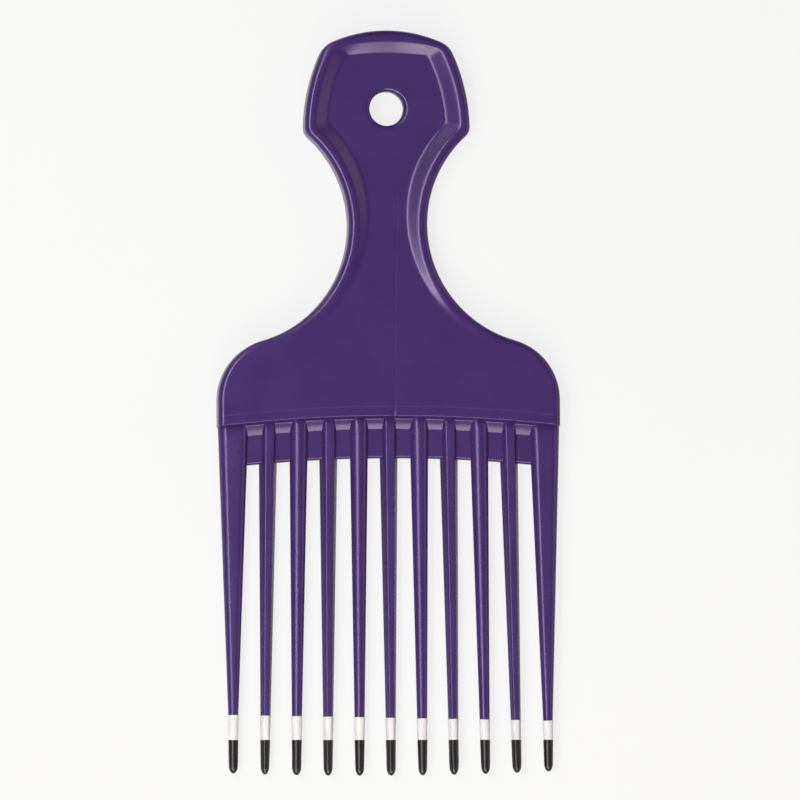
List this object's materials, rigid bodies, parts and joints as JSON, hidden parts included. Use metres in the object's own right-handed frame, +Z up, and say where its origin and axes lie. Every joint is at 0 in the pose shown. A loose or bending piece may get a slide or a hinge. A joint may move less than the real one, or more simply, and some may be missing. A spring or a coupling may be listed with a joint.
{
  "type": "afro pick",
  "caption": "Flat moulded afro pick with a waisted handle, a hanging hole and long tapered tines whose tips are dipped in white and then black.",
  "frame": {"origin": "middle of the footprint, on the flat back that the pick lies on", "axes": "+X across the tines, +Y along the pick from the tips towards the handle, +Z up out of the front face"},
  "size_m": [0.076, 0.165, 0.007],
  "materials": {
    "purple_moulding": "satin-gloss injection moulding in deep purple",
    "white_coating": "thin satin white dip coat",
    "black_coating": "thin glossy black dip coat, rounded at the tip"
  },
  "bodies": {
    "root": {"handle": "purple_moulding", "tine_01": "purple_moulding", "tine_02": "purple_moulding", "tine_03": "purple_moulding", "tine_04": "purple_moulding", "tine_05": "purple_moulding", "tine_06": "purple_moulding", "tine_07": "purple_moulding", "tine_08": "purple_moulding", "tine_09": "purple_moulding", "tine_10": "purple_moulding", "tine_11": "purple_moulding", "white_dip_01": "white_coating", "white_dip_02": "white_coating", "white_dip_03": "white_coating", "white_dip_04": "white_coating", "white_dip_05": "white_coating", "white_dip_06": "white_coating", "white_dip_07": "white_coating", "white_dip_08": "white_coating", "white_dip_09": "white_coating", "white_dip_10": "white_coating", "white_dip_11": "white_coating", "black_dip_01": "black_coating", "black_dip_02": "black_coating", "black_dip_03": "black_coating", "black_dip_04": "black_coating", "black_dip_05": "black_coating", "black_dip_06": "black_coating", "black_dip_07": "black_coating", "black_dip_08": "black_coating", "black_dip_09": "black_coating", "black_dip_10": "black_coating", "black_dip_11": "black_coating"}
  },
  "joints": []
}
